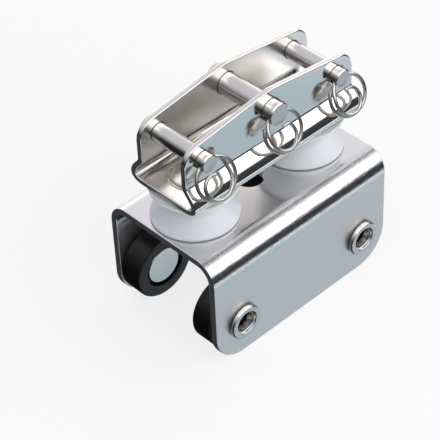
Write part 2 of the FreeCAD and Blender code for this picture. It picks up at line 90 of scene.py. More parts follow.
# Sheaves and their rivets: radii, and heights over the middle of the sheave
SHEAVE_RADIUS, SHEAVE_WAIST, SHEAVE_BORE = 11.45 * MM, 7.2 * MM, 4.05 * MM
SHEAVE_HALF, SHEAVE_RIM, SHEAVE_GROOVE = 5.0 * MM, 0.7 * MM, 1.6 * MM
RIVET_HEAD, RIVET_SHANK, RIVET_CLINCH = 6.4 * MM, 2.5 * MM, 4.2 * MM
RIM_EDGE, RIVET_EDGE, DOME_FOOT = 0.2 * MM, 0.35 * MM, 0.12 * MM
# Bracket: its floor's sides flare in and up to two cheeks, whose top edges rise to a rounded peak
BRACKET_GAUGE = 1.6 * MM
BRACKET_SLOT = 14.0 * MM
FOOT_RISE = 7.8 * MM
FLARE_ANGLE = math.radians(40)
FOOT_FOLD = 3.6 * MM
CHEEK_FOLD = 1.0 * MM
CHEEK_END_RISE = 18.2 * MM
CHEEK_CORNER = 4.5 * MM
CHEEK_PEAK_ROUND = 8.0 * MM
# What rounding the peak takes off its height
PEAK_LOSS = 0.064 * MM
# Clevis pins: radius, head radius, head thickness
PIN_SIZES = {"front": (2.5 * MM, 3.6 * MM, 1.4 * MM), "centre": (3.175 * MM, 4.6 * MM, 1.8 * MM),
             "rear": (2.5 * MM, 3.6 * MM, 1.4 * MM)}
PIN_HEAD_SEAT = 8.75 * MM
# The tip's chamfer, the head's rounding, and the room round a pin in its hole
PIN_CHAMFER, PIN_HEAD_EDGE, PIN_GAP = 0.3 * MM, 0.3 * MM, 0.2 * MM
CROSS_HOLE = {"front": 0.963 * MM, "centre": 1.204 * MM, "rear": 0.963 * MM}
# Split rings: two coils of wire, the second one closed up under the pin, and each ring bent its
# own way. Places are millimetres in the ring's own plane: to the right of the pin's cross hole,
# below it and out in front of the plane. A loop is its middle, right and below, and its radius.
WIRE_RADIUS = 0.5 * MM
RING_LOOPS = {"rear": (-0.4, 5.15, 5.55), "centre": (-1.05, 5.35, 5.5), "front": (-0.85, 5.5, 5.5)}
# Which way round a loop is bent, and between which angles from its top, in degrees
LOOP_BENDS = {"rear": (-1, 27, 322), "centre": (1, 52, 318), "front": (1, 52, 318)}
# How far a ring leans out from the cheek, and how far the cross hole is turned from level
RING_LEAN, RING_SWAY = math.radians(22), math.radians(18)
INNER_COILS = {
    "rear": ((-0.2, 3.6, 1.0), (-2.0, 2.9, 1.05), (-4.0, 3.8, 1.05), (-4.95, 5.8, 1.05),
             (-4.5, 8.2, 1.05), (-1.8, 10.1, 1.05), (1.5, 9.4, 0.8), (3.2, 7.2, 0.4),
             (3.65, 4.8, 0.1), (3.75, 2.8, 0), (3.3, 1.2, 0), (2.2, 0.2, 0), (1.1, -0.22, 0)),
    "centre": ((-0.8, 4.0, 1.0), (0.7, 4.3, 0.8), (1.6, 6.0, 0.6), (0.9, 8.6, 0.8),
               (-1.7, 10.1, 1.05), (-4.6, 8.6, 1.05), (-5.6, 6.0, 1.05), (-5.3, 3.4, 0.9),
               (-4.3, 1.5, 0.4), (-3.2, 0.6, 0.1), (-1.8, 0.1, 0)),
    "front": ((-1.2, 3.4, 1.0), (0.4, 3.8, 0.8), (1.7, 5.7, 0.5), (1.5, 8.3, 0.7),
              (-1.3, 10.2, 1.05), (-4.4, 8.8, 1.05), (-5.4, 6.0, 1.05), (-4.9, 3.3, 0.9),
              (-3.7, 1.4, 0.4), (-2.7, 0.6, 0.1), (-1.5, 0.1, 0)),
}
# How finely round forms are divided
FOLD_STEPS = 28
ROUND_STEPS = 14
EDGE_STEPS = 4
TURNED_STEPS, SHEAVE_STEPS, PIN_STEPS = 128, 160, 96
HOLE_STEPS = 96
ARC_STEPS, DOME_STEPS = 8, 16
LOOP_STEP_DEGREES, WIRE_LENGTH_STEPS, WIRE_ROUND_STEPS = 5, 6, 4
# Corners sharper than these are rounded on sheets, and shaded sharp on pieces and on wire
SHARP_ANGLE, SMOOTH_ANGLE, WIRE_ANGLE = math.radians(28), math.radians(30), math.radians(40)
# Vertices closer than this are the same one
MERGE_DISTANCE = 0.002 * MM


def joint_place(name):
    return Vector(JOINTS[name]["pos_m"])


# Modelling helpers

def deselect():
    if bpy.context.mode != "OBJECT":
        bpy.ops.object.mode_set(mode="OBJECT")
    bpy.ops.object.select_all(action="DESELECT")


def only(piece):
    """Make a piece the one that is selected and active."""
    deselect()
    piece.select_set(True)
    bpy.context.view_layer.objects.active = piece


def dress(piece, body, node):
    """Say which body a piece rides on and which CAD node it replaces."""
    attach(piece, body)
    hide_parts(node)
    return piece


def settle(piece):
    """Write a piece's place into its mesh, so that its object sits at the origin."""
    only(piece)
    bpy.ops.object.transform_apply(location=True, rotation=True, scale=True)
    return piece


def apply_modifier(piece, kind, **settings):
    modifier = piece.modifiers.new(kind.title(), kind)
    for name, value in settings.items():
        setattr(modifier, name, value)
    only(piece)
    bpy.ops.object.modifier_apply(modifier=modifier.name)


def pick(piece, vertex_test=None, edge_test=None, face_test=None):
    """In edit mode, select just what a test on places picks out."""
    bpy.ops.mesh.select_all(action="DESELECT")
    bpy.ops.object.mode_set(mode="OBJECT")
    mesh = piece.data
    place = [vertex.co for vertex in mesh.vertices]
    if vertex_test:
        for vertex in mesh.vertices:
            vertex.select = vertex_test(vertex.co)
    if edge_test:
        for edge in mesh.edges:
            edge.select = edge_test(*[place[index] for index in edge.vertices])
    if face_test:
        for face in mesh.polygons:
            face.select = face_test(face.center, face.normal)
    bpy.ops.object.mode_set(mode="EDIT")


def near(value, wanted):
    return abs(value - wanted) < 1e-6


def edit(piece, mode):
    only(piece)
    bpy.ops.object.mode_set(mode="EDIT")
    bpy.ops.mesh.select_mode(type=mode)


def cut_hole(piece, centre, radius, depth, axis):
    """Cut a round hole through a piece, along Y, along Z or along a ring's wire."""
    turns = {"wire": (0, math.pi / 2 - RING_SWAY, 0), "Y": (math.pi / 2, 0, 0), "Z": (0, 0, 0)}
    deselect()
    bpy.ops.mesh.primitive_cylinder_add(
        vertices=HOLE_STEPS, radius=radius, depth=depth, location=centre, rotation=turns[axis])
    cutter = settle(bpy.context.object)
    apply_modifier(piece, "BOOLEAN", operation="DIFFERENCE", solver="EXACT", object=cutter)
    bpy.data.objects.remove(cutter)


def break_edges(piece, width):
    """Round every sharp edge a little."""
    apply_modifier(piece, "BEVEL", width=width, segments=EDGE_STEPS, limit_method="ANGLE",
                   angle_limit=SHARP_ANGLE, use_clamp_overlap=False, miter_outer="MITER_SHARP")


def smooth_round_flats(piece):
    """Smooth the rounded edges and keep the flats between them flat."""
    only(piece)
    bpy.ops.object.shade_smooth_by_angle(angle=SMOOTH_ANGLE)
    apply_modifier(piece, "WEIGHTED_NORMAL", mode="FACE_AREA", weight=80, keep_sharp=True)


def copied(piece, name, start, end, half_turn=False):
    """Copy a piece, with its own mesh, from one joint's place to another's."""
    only(piece)
    bpy.ops.object.duplicate(linked=False)
    twin = bpy.context.object
    twin.name = twin.data.name = name
    turn = Matrix.Rotation(math.pi if half_turn else 0, 4, "Z")
    twin.matrix_world = Matrix.Translation(end) @ turn @ Matrix.Translation(-start)
    return settle(twin)


def turned(name, profile, centre, axis, steps=TURNED_STEPS):
    """Spin a profile of (radius, height) pairs round an axis through a centre.

    A profile whose ends both lie on the axis closes by itself, and any other is closed.
    """
    along = {"Y": Vector((0, 1, 0)), "Z": Vector((0, 0, 1))}[axis]
    across = Vector((1, 0, 0))
    points = [Vector(centre) + across * radius + along * height for radius, height in profile]
    if profile[0][0] > 0:
        points.append(points[0])
    deselect()
    bpy.ops.mesh.primitive_plane_add(size=MM)
    piece = bpy.context.object
    piece.name = name
    piece.data.name = name
    edit(piece, "VERT")
    bpy.ops.mesh.select_all(action="SELECT")
    bpy.ops.mesh.merge(type="CENTER")
    bpy.ops.transform.translate(value=points[0])
    for before, after in zip(points, points[1:]):
        bpy.ops.mesh.extrude_region_move(TRANSFORM_OT_translate={"value": after - before})
    bpy.ops.mesh.select_all(action="SELECT")
    bpy.ops.mesh.spin(steps=steps, angle=2 * math.pi, center=centre, axis=along)
    bpy.ops.mesh.select_all(action="SELECT")
    bpy.ops.mesh.remove_doubles(threshold=MERGE_DISTANCE)
    bpy.ops.mesh.normals_make_consistent(inside=False)
    deselect()
    only(piece)
    bpy.ops.object.shade_smooth_by_angle(angle=SMOOTH_ANGLE)
    return piece


# Sheet pieces

def make_saddle():
    """The folded saddle: a block's top and sides, rounded at folds and corners, given gauge."""
    low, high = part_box("car_body")
    size = high - low
    deselect()
    bpy.ops.mesh.primitive_cube_add(size=1, location=(low + high) / 2, scale=size)
    saddle = settle(bpy.context.object)
    saddle.name = saddle.data.name = "saddle"
    edit(saddle, "FACE")
    pick(saddle, face_test=lambda centre, normal: normal.z < -0.5 or abs(normal.x) > 0.5)
    bpy.ops.mesh.delete(type="FACE")
    bpy.ops.mesh.select_mode(type="EDGE")
    pick(saddle, edge_test=lambda a, b: near(a.z, high.z) and near(b.z, high.z) and near(a.y, b.y))
    bpy.ops.mesh.bevel(offset=SADDLE_FOLD, segments=FOLD_STEPS, affect="EDGES")
    bpy.ops.mesh.select_mode(type="VERT")
    pick(saddle, vertex_test=lambda place: near(place.z, low.z))
    bpy.ops.mesh.bevel(offset=SADDLE_CORNER, segments=FOLD_STEPS, affect="VERTICES")
    bpy.ops.mesh.select_all(action="SELECT")
    bpy.ops.mesh.normals_make_consistent(inside=False)
    deselect()
    outwards_and_thick(saddle, SADDLE_GAUGE, Vector((0, 0, 1)))
    break_edges(saddle, SADDLE_EDGE)
    cut_hole(saddle, (0, 0, high.z), CENTRE_HOLE, 4 * SADDLE_GAUGE, "Z")
    for end in ("front", "rear"):
        axle = joint_place(f"wheel_spin_{end}_left")
        cut_hole(saddle, (axle.x, 0, axle.z), AXLE_RADIUS + AXLE_GAP, 2 * size.y, "Y")
    smooth_round_flats(saddle)
    return dress(saddle, "root", "car_body")


def outwards_and_thick(piece, gauge, up):
    """Turn an open shell's top face upwards, then give the sheet its gauge on the inside."""
    level = [face for face in piece.data.polygons if abs(face.normal.z) > 0.9]
    top = max(level, key=lambda face: face.center.z)
    if top.normal.dot(up) < 0:
        only(piece)
        bpy.ops.object.mode_set(mode="EDIT")
        bpy.ops.mesh.select_all(action="SELECT")
        bpy.ops.mesh.flip_normals()
        deselect()
    apply_modifier(piece, "SOLIDIFY", thickness=gauge, offset=-1, use_even_offset=True,
                   use_quality_normals=True)


def make_bracket():
    """The folded bracket: floor, flared foot sides and peaked cheeks, drawn as a shell."""
    low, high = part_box("toggle_bracket")
    cheek = BRACKET_SLOT / 2 + BRACKET_GAUGE
    foot = cheek + FOOT_RISE * math.tan(FLARE_ANGLE)
    floor = low.z
    end_top = floor + CHEEK_END_RISE
    deselect()
    bpy.ops.mesh.primitive_plane_add(size=1, location=(0, 0, floor))
    bracket = bpy.context.object
    bracket.scale = (high.x - low.x, 2 * foot, 1)
    settle(bracket)
    bracket.name = bracket.data.name = "bracket"
    edit(bracket, "EDGE")
    for side in (1, -1):
        pick(bracket, edge_test=lambda a, b: near(a.y, side * foot) and near(b.y, side * foot))
        bpy.ops.mesh.extrude_region_move(
            TRANSFORM_OT_translate={"value": (0, side * (cheek - foot), FOOT_RISE)})
        bpy.ops.mesh.extrude_region_move(
            TRANSFORM_OT_translate={"value": (0, 0, end_top - floor - FOOT_RISE)})
        bpy.ops.mesh.subdivide(number_cuts=1)
    bpy.ops.mesh.select_mode(type="VERT")
    pick(bracket, vertex_test=lambda place: near(place.z, end_top) and near(place.x, 0))
    bpy.ops.transform.translate(value=(0, 0, high.z - end_top + PEAK_LOSS))
    bpy.ops.mesh.select_mode(type="EDGE")
    pick(bracket, edge_test=lambda a, b: near(a.z, floor) and near(b.z, floor) and near(a.y, b.y))
    bpy.ops.mesh.bevel(offset=FOOT_FOLD / math.tan((math.pi / 2 - FLARE_ANGLE) / 2),
                       segments=FOLD_STEPS, affect="EDGES")
    flare_top = floor + FOOT_RISE
    pick(bracket, edge_test=lambda a, b: near(a.z, flare_top) and near(b.z, flare_top))
    bpy.ops.mesh.bevel(offset=CHEEK_FOLD * math.tan(FLARE_ANGLE / 2), segments=ROUND_STEPS,
                       affect="EDGES")
    bpy.ops.mesh.select_mode(type="VERT")
    pick(bracket, vertex_test=lambda place: near(place.z, end_top))
    bpy.ops.mesh.bevel(offset=CHEEK_CORNER, segments=ROUND_STEPS, affect="VERTICES")
    pick(bracket, vertex_test=lambda place: near(place.x, 0) and place.z > end_top)
    slope = math.atan2(high.z - end_top, high.x)
    bpy.ops.mesh.bevel(offset=CHEEK_PEAK_ROUND * math.tan(slope), segments=ROUND_STEPS,
                       affect="VERTICES")
    deselect()
    outwards_and_thick(bracket, BRACKET_GAUGE, Vector((0, 0, -1)))
    break_edges(bracket, BRACKET_EDGE)
    for name in PINS:
        cut_hole(bracket, joint_place(f"pin_turn_{name}"), PIN_SIZES[name][0] + PIN_GAP,
                 4 * cheek, "Y")
    smooth_round_flats(bracket)
    return dress(bracket, "root", "toggle_bracket")


# Turned pieces

def rounded(corners):
    """A profile's (radius, height, fillet) corners as points, each fillet drawn as an arc."""
    points = []
    for index, (radius, height, fillet) in enumerate(corners):
        here = Vector((radius, height))
        if not fillet:
            points.append((radius, height))
            continue
        before = (Vector(corners[index - 1][:2]) - here).normalized()
        after = (Vector(corners[(index + 1) % len(corners)][:2]) - here).normalized()
        half = before.angle(after) / 2
        middle = here + (before + after).normalized() * fillet / math.sin(half)
        first = here + before * fillet / math.tan(half) - middle
        sweep = first.angle_signed(here + after * fillet / math.tan(half) - middle)
        for step in range(ARC_STEPS + 1):
            point = first.copy()
            point.rotate(Matrix.Rotation(-sweep * step / ARC_STEPS, 2))
            points.append(tuple(middle + point))
    return points


def at_each_corner(piece, name):
    """The piece at the front left corner and its copies at the other three, turned to face out."""
    first = joint_place("wheel_spin_front_left")
    pieces = {"front_left": piece}
    for corner in CORNERS[1:]:
        place = joint_place(f"wheel_spin_{corner}")
        pieces[corner] = copied(piece, f"{name}_{corner}", first, place,
                                half_turn="right" in corner)
    return pieces


def make_wheels():
    """Black rollers with softened edges, recessed on their inner side."""
    place = joint_place("wheel_spin_front_left")
    profile = rounded([
        (WHEEL_BORE, WHEEL_RECESS_FLOOR, 0), (WHEEL_RECESS, WHEEL_RECESS_FLOOR, 0.3 * MM),
        (WHEEL_RECESS, WHEEL_INSIDE, 0.25 * MM), (WHEEL_RADIUS, WHEEL_INSIDE, WHEEL_EDGE),
        (WHEEL_RADIUS, WHEEL_OUTSIDE, WHEEL_EDGE), (WHEEL_BORE, WHEEL_OUTSIDE, 0.2 * MM)])
    wheel = turned("roller_front_left", profile, (place.x, 0, place.z), "Y")
    return [dress(roller, f"wheel_{corner}", f"wheel_{corner}")
            for corner, roller in at_each_corner(wheel, "roller").items()]


def make_axle_rivets():
    """Tubular axles: a low head inside, and outside a thick bright roll with a curled mouth."""
    place = joint_place("wheel_spin_front_left")
    profile = rounded([
        (0, AXLE_HEAD_FACE, 0), (AXLE_HEAD, AXLE_HEAD_FACE, 0.3 * MM),
        (AXLE_HEAD, AXLE_HEAD_SEAT, 0), (AXLE_RADIUS, AXLE_HEAD_SEAT, 0),
        (AXLE_RADIUS, ROLL_FOOT, 0),
        (ROLL_RADIUS - 0.6 * MM, ROLL_FOOT, 0), (ROLL_RADIUS, ROLL_FOOT + 0.5 * MM, 0.3 * MM),
        (ROLL_RADIUS, ROLL_TOP - 1.6 * ROLL_BEVEL, 0.15 * MM),
        (ROLL_RADIUS - ROLL_BEVEL, ROLL_TOP, 0.25 * MM), (ROLL_MOUTH, ROLL_TOP, 0.25 * MM),
        (ROLL_MOUTH - 0.3 * MM, ROLL_TOP - CURL_DEPTH, 0.3 * MM),
        (ROLL_MOUTH - 0.75 * MM, ROLL_TOP - STEP_DEPTH, 0.15 * MM),
        (AXLE_BORE, ROLL_TOP - THROAT_DEPTH, 0.3 * MM),
        (AXLE_BORE, ROLL_TOP - BORE_DEPTH, 0.3 * MM), (0, ROLL_TOP - DRILL_POINT_DEPTH, 0)])
    axle = turned("axle_front_left", profile, (place.x, 0, place.z), "Y")
    return [dress(rivet, "root", f"axle_rivet_{corner}")
            for corner, rivet in at_each_corner(axle, "axle").items()]


def at_both_ends(piece, name):
    """The front piece and its copy at the rear."""
    return {"front": piece, "rear": copied(piece, f"{name}_rear", joint_place("sheave_spin_front"),
                                           joint_place("sheave_spin_rear"))}


def make_sheaves():
    """White sheaves whose grooves run from thin rims into a rounded waist."""
    rim = SHEAVE_HALF - SHEAVE_RIM
    waist = SHEAVE_GROOVE / 2
    profile = rounded([
        (SHEAVE_BORE, -SHEAVE_HALF, RIM_EDGE), (SHEAVE_RADIUS, -SHEAVE_HALF, 0.15 * MM),
        (SHEAVE_RADIUS, -rim, RIM_EDGE), (SHEAVE_WAIST, -waist, SHEAVE_GROOVE),
        (SHEAVE_WAIST, waist, SHEAVE_GROOVE), (SHEAVE_RADIUS, rim, RIM_EDGE),
        (SHEAVE_RADIUS, SHEAVE_HALF, 0.15 * MM), (SHEAVE_BORE, SHEAVE_HALF, RIM_EDGE)])
    sheave = turned("line_sheave_front", profile, joint_place("sheave_spin_front"), "Z",
                    steps=SHEAVE_STEPS)
    return [dress(one, f"sheave_{end}", f"sheave_{end}")
            for end, one in at_both_ends(sheave, "line_sheave").items()]


def make_sheave_rivets():
    """The rivets through the sheaves: a low dome on the bracket's floor, clinched below."""
    low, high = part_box("sheave_rivet_front")
    place = joint_place("sheave_spin_front")
    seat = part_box("toggle_bracket")[0].z + BRACKET_GAUGE - place.z
    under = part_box("car_body")[1].z - SADDLE_GAUGE - place.z
    top, bottom = high.z - place.z, low.z - place.z
    profile = rounded([
        (0, bottom, 0), (RIVET_CLINCH, bottom, RIVET_EDGE), (RIVET_CLINCH, under, 0),
        (RIVET_SHANK, under, 0), (RIVET_SHANK, seat, 0), (RIVET_HEAD, seat, 0)])
    rise = top - seat - DOME_FOOT
    for step in range(DOME_STEPS):
        turn = math.pi / 2 * (1 - step / DOME_STEPS)
        profile.append((RIVET_HEAD * math.sin(turn), seat + DOME_FOOT + rise * math.cos(turn)))
    rivet = turned("rivet_front", profile + [(0, top)], place, "Z")
    return [dress(one, "root", f"sheave_rivet_{end}")
            for end, one in at_both_ends(rivet, "rivet").items()]


def make_clevis_pin(name):
    """A headed pin with a chamfered tip, drilled across for its ring."""
    radius, head, thickness = PIN_SIZES[name]
    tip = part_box(f"clevis_pin_{name}")[0].y
    profile = rounded([
        (0, PIN_HEAD_SEAT + thickness, 0), (head, PIN_HEAD_SEAT + thickness, PIN_HEAD_EDGE),
        (head, PIN_HEAD_SEAT, 0.08 * MM), (radius, PIN_HEAD_SEAT, 0),
        (radius, tip + PIN_CHAMFER, 0.1 * MM), (radius - PIN_CHAMFER, tip, 0.05 * MM), (0, tip, 0)])
    pin = turned(f"pin_{name}", profile, joint_place(f"pin_turn_{name}"), "Y", steps=PIN_STEPS)
    cut_hole(pin, joint_place(f"ring_swing_{name}"), CROSS_HOLE[name], 4 * radius, "wire")
    only(pin)
    bpy.ops.object.shade_smooth_by_angle(angle=SMOOTH_ANGLE)
    return pin


def make_clevis_pins():
    """The thick centre pin and the two end ones, which are alike."""
    pins = {"front": make_clevis_pin("front"), "centre": make_clevis_pin("centre")}
    pins["rear"] = copied(pins["front"], "pin_rear", joint_place("pin_turn_front"),
                          joint_place("pin_turn_rear"))
    return [dress(pin, f"clevis_pin_{name}", f"clevis_pin_{name}")
            for name, pin in pins.items()]


def make_split_ring(name):
    """Bend a ring: the inner coil, through the cross hole, and once more round outside it."""
    across, down, radius = RING_LOOPS[name]
    way, first, last = LOOP_BENDS[name]
    coil = list(INNER_COILS[name])
    coil.append((0, -0.1, 0))
    for angle in range(first, last, LOOP_STEP_DEGREES):
        turn = math.radians(angle)
        coil.append((across + way * radius * math.sin(turn), down - radius * math.cos(turn), 0))
    curve = bpy.data.curves.new(f"ring_{name}", "CURVE")
    curve.dimensions = "3D"
    spline = curve.splines.new("BEZIER")
    spline.bezier_points.add(len(coil) - 1)
    for point, (across, down, out) in zip(spline.bezier_points, coil):
        point.co = (across * MM, -out * MM, -down * MM)
        point.handle_left_type = point.handle_right_type = "AUTO"
    spline.resolution_u = WIRE_LENGTH_STEPS
    curve.bevel_depth = WIRE_RADIUS
    curve.bevel_resolution = WIRE_ROUND_STEPS
    curve.use_fill_caps = True
    ring = bpy.data.objects.new(f"ring_{name}", curve)
    bpy.context.scene.collection.objects.link(ring)
    only(ring)
    bpy.ops.object.convert(target="MESH")
    ring = bpy.context.object
    edit(ring, "VERT")
    bpy.ops.mesh.select_all(action="SELECT")
    bpy.ops.mesh.remove_doubles(threshold=MERGE_DISTANCE)
    bpy.ops.mesh.normals_make_consistent(inside=False)
    deselect()
    ring.matrix_world = (Matrix.Translation(joint_place(f"ring_swing_{name}"))
                         @ Matrix.Rotation(-RING_SWAY, 4, "Y")
                         @ Matrix.Rotation(-RING_LEAN, 4, "X"))
    settle(ring)
    only(ring)
    bpy.ops.object.shade_smooth_by_angle(angle=WIRE_ANGLE)
    return dress(ring, f"split_ring_{name}", f"split_ring_{name}")


saddle = make_saddle()
bracket = make_bracket()
wheels = make_wheels()
axle_rivets = make_axle_rivets()
sheaves = make_sheaves()
sheave_rivets = make_sheave_rivets()
pins = make_clevis_pins()
rings = [make_split_ring(name) for name in PINS]


# Finishes

def linear(hexadecimal):
    """Linear colour from an sRGB hex value."""
    parts = [int(hexadecimal[index:index + 2], 16) / 255 for index in (1, 3, 5)]
    return tuple(part / 12.92 if part <= 0.04045 else ((part + 0.055) / 1.055) ** 2.4
                 for part in parts) + (1.0,)


def add_node(tree, kind, links=None, settings=None, **values):
    """Add a shader node, link outputs into its sockets and set the others.

    A socket is called by its name, or in values also by its number after an n, as in n1.
    """
    node = tree.nodes.new(kind)
    for name, value in (settings or {}).items():
        setattr(node, name, value)
    for name, value in values.items():
        numbered = name[0] == "n" and name[1:].isdigit()
        node.inputs[int(name[1:]) if numbered else name].default_value = value
    for name, output in (links or {}).items():
        tree.links.new(output, node.inputs[name])
    return node


def new_material(name):
    material = bpy.data.materials.new(name)
    material.use_nodes = True
    material.node_tree.nodes.clear()
    return material, material.node_tree


def finish_material(tree, shader):
    output = add_node(tree, "ShaderNodeOutputMaterial")
    tree.links.new(shader.outputs[0], output.inputs["Surface"])


# Grain on steel is really about 0.05 mm and on turned acetal 0.1 mm, too fine to show, so it is
# drawn at 0.2 to 0.4 mm. These are the relief's depths, and how much stronger the bumps of a
# stretched fold are, and how many times rougher the unreached and the ground places.
STEEL_RELIEF, ACETAL_RELIEF, ACETAL_GRAIN = 0.1 * MM, 0.02 * MM, 0.3 * MM
FOLD_PEEL, DULL_INSIDE, SATIN_PLATES = 0.55, 2.4, 3.0
# How deep light sinks into white acetal
ACETAL_DEPTH = 1.5 * MM


def stainless(name, base, roughness, grain_size, bump, fold=None, inside=None, plates=None):
    """Stainless steel: a reflection broken up by a fine orange peel.

    A fold is given as (y, z): beyond both, the stretched skin is peeled more strongly. Within the
    distance inside, from the middle, the polishing mop didn't reach and it stays duller. Below the
    height plates, the side plates are ground satin.
    """
    material, tree = new_material(name)
    place = add_node(tree, "ShaderNodeTexCoord")
    grain = add_node(tree, "ShaderNodeTexNoise", {"Vector": place.outputs["Object"]},
                     Scale=1 / grain_size, Detail=2.0)
    tone = add_node(tree, "ShaderNodeMapRange", {"Value": grain.outputs["Fac"]})
    tone.inputs["To Min"].default_value = roughness * 0.8
    tone.inputs["To Max"].default_value = roughness * 1.2
    relief = add_node(tree, "ShaderNodeBump", {"Height": grain.outputs["Fac"]}, Strength=bump,
                      Distance=STEEL_RELIEF)
    split = add_node(tree, "ShaderNodeSeparateXYZ", {"Vector": place.outputs["Object"]})
    across = add_node(tree, "ShaderNodeMath", {0: split.outputs["Y"]}, {"operation": "ABSOLUTE"})
    dull = tone.outputs["Result"]
    if inside:
        reach = add_node(tree, "ShaderNodeMapRange", {"Value": across.outputs[0]},
                         n1=inside - 0.1 * MM, n2=inside + 0.1 * MM, n3=DULL_INSIDE, n4=1.0)
        dull = add_node(tree, "ShaderNodeMath", {0: dull, 1: reach.outputs[0]},
                        {"operation": "MULTIPLY"}).outputs[0]
    if plates:
        ground = add_node(tree, "ShaderNodeMapRange", {"Value": split.outputs["Z"]},
                          n1=plates - 0.5 * MM, n2=plates + 0.3 * MM, n3=SATIN_PLATES, n4=1.0)
        dull = add_node(tree, "ShaderNodeMath", {0: dull, 1: ground.outputs[0]},
                        {"operation": "MULTIPLY"}).outputs[0]
    if fold:
        sides = add_node(tree, "ShaderNodeMapRange", {"Value": across.outputs[0]}, n1=fold[0],
                         n2=fold[0] + 2 * MM)
        stretched = add_node(tree, "ShaderNodeMapRange",
                             {"Value": split.outputs["Z"], "To Max": sides.outputs[0]}, n1=fold[1],
                             n2=fold[1] + 1.5 * MM)
        strength = add_node(tree, "ShaderNodeMapRange", {"Value": stretched.outputs[0]}, n3=bump,
                            n4=FOLD_PEEL)
        tree.links.new(strength.outputs[0], relief.inputs["Strength"])
    shader = add_node(tree, "ShaderNodeBsdfPrincipled",
                      {"Roughness": dull, "Normal": relief.outputs["Normal"]}, Metallic=1.0)
    shader.inputs["Base Color"].default_value = linear(base)
    finish_material(tree, shader)
    return material


def acetal(name, base, roughness, subsurface=0.0):
    """Acetal, turned: an even satin face, into which light sinks a little if it is white."""
    material, tree = new_material(name)
    place = add_node(tree, "ShaderNodeTexCoord")
    grain = add_node(tree, "ShaderNodeTexNoise", {"Vector": place.outputs["Object"]},
                     Scale=1 / ACETAL_GRAIN, Detail=3.0)
    relief = add_node(tree, "ShaderNodeBump", {"Height": grain.outputs["Fac"]}, Strength=0.05,
                      Distance=ACETAL_RELIEF)
    shader = add_node(tree, "ShaderNodeBsdfPrincipled", {"Normal": relief.outputs["Normal"]},
                      Roughness=roughness)
    shader.inputs["Base Color"].default_value = linear(base)
    if subsurface:
        shader.inputs["Subsurface Weight"].default_value = subsurface
        shader.inputs["Subsurface Radius"].default_value = (1.0, 1.0, 1.0)
        shader.inputs["Subsurface Scale"].default_value = ACETAL_DEPTH
    finish_material(tree, shader)
    return material


# Stainless sheet, folded and mopped bright on top: a soft clear image of the room, speckled where
# the folds stretched the skin, over side plates ground to an even blue grey satin
SADDLE_SHEET = stainless("polished_stainless_saddle", "#EFEEED", 0.14, 0.36 * MM, 0.015,
                         fold=(13.5 * MM, 15.2 * MM), plates=15.2 * MM)
# The same sheet mopped as a mirror outside, so that pins and rings show in it, and duller inside
BRACKET_SHEET = stainless("polished_stainless_bracket", "#EFEDEA", 0.1, 0.3 * MM, 0.02,
                          inside=7.8 * MM)
# The sheets' sheared ends, tumbled: plain dark satin lines round the folded shapes
CUT_EDGE = stainless("sheared_and_tumbled_edge", "#E6E6E8", 0.5, 0.3 * MM, 0.05)
# Stainless bar, turned: bright bands along the pins and round the rivets, with soft borders
BAR = stainless("turned_stainless_bar", "#E2E0DD", 0.25, 0.2 * MM, 0.02)
# A pin's tip, faced off: an even light grey disc without images
PIN_END = stainless("faced_end_of_a_pin", "#DADBDD", 0.42, 0.4 * MM, 0.03)
# The drilled bore of an axle and the foot of its roll against the plate: painted shade, a darker
# colour where shade falls inside the tube and at the plate
PAINTED_SHADE_BORE_AND_FOOT = stainless("axle_bore_and_roll_foot_painted_shade", "#8E8C8A", 0.25, 0.2 * MM, 0.02)
# Stainless wire, drawn and tumbled: mid grey with a soft white line along it
WIRE = stainless("drawn_stainless_wire", "#CDCBC8", 0.3, 0.2 * MM, 0.02)
# Acetal, turned: deep black with a faint sheen, and white with softened shade
BLACK = acetal("turned_black_acetal", "#0C0C0E", 0.4)
WHITE = acetal("turned_white_acetal", "#E4E7EB", 0.35, 0.4)


def give(piece, material):
    piece.data.materials.clear()
    piece.data.materials.append(material)


def finish_faces(pieces, material, test):
    """Give the faces that a test picks out a second finish."""
    for piece in pieces:
        piece.data.materials.append(material)
        for face in piece.data.polygons:
            if test(face):
                face.material_index = 1


for pieces, material in (([saddle], SADDLE_SHEET), ([bracket], BRACKET_SHEET), (wheels, BLACK),
                         (axle_rivets + sheave_rivets + pins, BAR), (sheaves, WHITE),
                         (rings, WIRE)):
    for piece in pieces:
        give(piece, material)
for name, node in NODES.items():
    if "bush" in name:
        give(node, BAR)
# Painted shade: the faces from the head's seat to the curl's lip, down the bore and round the
# roll's foot, take the darker colour
finish_faces(axle_rivets, PAINTED_SHADE_BORE_AND_FOOT,
             lambda face: AXLE_HEAD_SEAT < abs(face.center.y) < ROLL_TOP - CURL_DEPTH)
finish_faces([saddle, bracket], CUT_EDGE, lambda face: abs(face.normal.x) > 0.95)
finish_faces(pins, PIN_END, lambda face: face.normal.y < -0.99)

